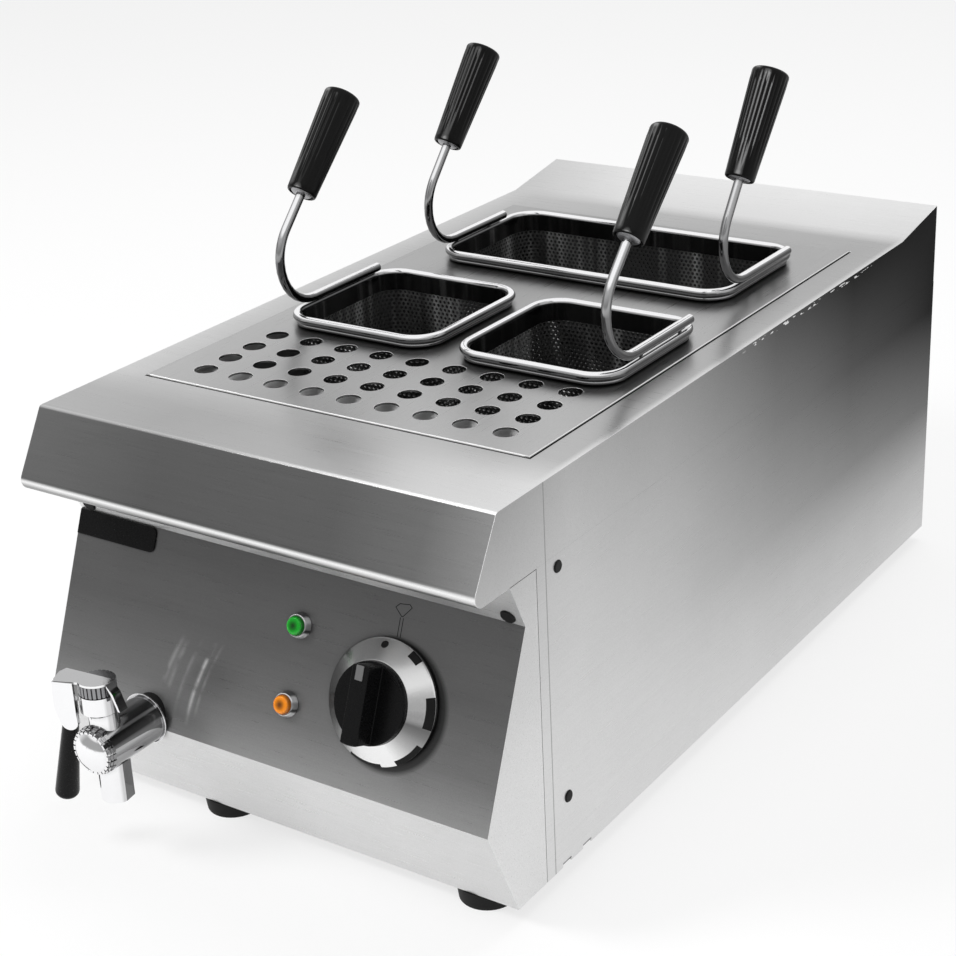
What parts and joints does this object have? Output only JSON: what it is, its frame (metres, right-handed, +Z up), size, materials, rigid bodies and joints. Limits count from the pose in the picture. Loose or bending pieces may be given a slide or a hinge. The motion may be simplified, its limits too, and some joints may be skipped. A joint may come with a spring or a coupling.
{
  "type": "pasta cooker",
  "caption": "Counter-top electric pasta cooker: steel casing with a water well, lift-out cover plate, perforated baskets with upright grips, control knob and lever drain tap.",
  "frame": {"origin": "on the table under the feet, in the middle of the width, midway between the front of the drain tap and the end of the cable gland at the back", "axes": "+X to the user's right, +Y from the user to the back, +Z up"},
  "size_m": [0.352, 0.7197, 0.4386],
  "materials": {
    "casing_steel": "brushed stainless steel",
    "panel_steel": "brushed stainless steel, darker grain",
    "plate_steel": "satin stainless steel",
    "inner_steel": "satin stainless steel",
    "basket_mesh": "perforated stainless steel",
    "bright_wire": "electropolished stainless wire",
    "black_gloss": "glossy black phenolic plastic",
    "black_rubber": "black rubber",
    "black_matte": "matt black plastic",
    "cream_plastic": "cream polyamide",
    "element_steel": "heat-tinted steel tube",
    "green_lens": "translucent green plastic",
    "amber_lens": "translucent amber plastic",
    "zinc_steel": "bright zinc plating",
    "chrome": "polished chrome plating",
    "knob_metal": "spun aluminium with black marks",
    "grey_insert": "light grey plastic"
  },
  "bodies": {
    "casing": {"worktop": "casing_steel", "tank": "inner_steel", "control_panel": "panel_steel", "left_side_panel": "casing_steel", "right_side_panel": "casing_steel", "back_panel": "casing_steel", "base_tray": "inner_steel", "feet": "black_rubber", "foot_screws": "zinc_steel", "badge_plate": "black_gloss", "panel_plugs": "black_rubber", "side_plugs": "black_rubber", "back_screws": "zinc_steel", "false_bottom": "inner_steel", "heating_element": "element_steel", "element_flange": "zinc_steel", "element_gasket": "black_rubber", "element_nuts": "zinc_steel", "drain_pipe": "zinc_steel", "tap_barrel": "chrome", "tap_collar": "chrome", "tap_washer": "black_rubber", "tap_spout": "chrome", "green_lamp_lens": "green_lens", "green_lamp_bezel": "chrome", "amber_lamp_lens": "amber_lens", "amber_lamp_bezel": "chrome", "lamp_holders": "black_matte", "energy_regulator": "black_matte", "regulator_screws": "zinc_steel", "safety_cutout": "black_matte", "terminal_block": "cream_plastic", "cable_gland": "black_matte"},
    "cover": {"cover_plate": "plate_steel"},
    "basket_left": {"basket_left_shell": "basket_mesh", "basket_left_rim": "bright_wire", "basket_left_rod": "bright_wire", "basket_left_grip": "black_gloss"},
    "basket_right": {"basket_right_shell": "basket_mesh", "basket_right_rim": "bright_wire", "basket_right_rod": "bright_wire", "basket_right_grip": "black_gloss"},
    "basket_rear": {"basket_rear_shell": "basket_mesh", "basket_rear_rim": "bright_wire", "basket_rear_rod_left": "bright_wire", "basket_rear_rod_right": "bright_wire", "basket_rear_grip_left": "black_gloss", "basket_rear_grip_right": "black_gloss"},
    "knob": {"knob_skirt": "knob_metal", "knob_grip": "black_gloss", "knob_pointer": "grey_insert", "knob_spindle": "zinc_steel"},
    "tap_lever": {"tap_spindle": "zinc_steel", "tap_lever_cap": "chrome", "tap_lever_arm": "chrome", "tap_lever_handle": "black_gloss"}
  },
  "joints": [
    {"name": "cover_lift", "type": "slide", "parent": "casing", "child": "cover", "axis": [0, 0, 1], "range_m": [0, 0.2]},
    {"name": "basket_left_lift", "type": "slide", "parent": "cover", "child": "basket_left", "axis": [0, 0, 1], "range_m": [0, 0.18]},
    {"name": "basket_right_lift", "type": "slide", "parent": "cover", "child": "basket_right", "axis": [0, 0, 1], "range_m": [0, 0.18]},
    {"name": "basket_rear_lift", "type": "slide", "parent": "cover", "child": "basket_rear", "axis": [0, 0, 1], "range_m": [0, 0.18]},
    {"name": "knob_turn", "type": "hinge", "parent": "casing", "child": "knob", "pos_m": [0.0885, -0.2802, 0.13448], "axis": [0, 0.9245, -0.3811], "range_deg": [0, 300]},
    {"name": "tap_turn", "type": "hinge", "parent": "casing", "child": "tap_lever", "pos_m": [-0.0895, -0.34145, 0.127], "axis": [0, 0, 1], "range_deg": [0, 90]}
  ]
}
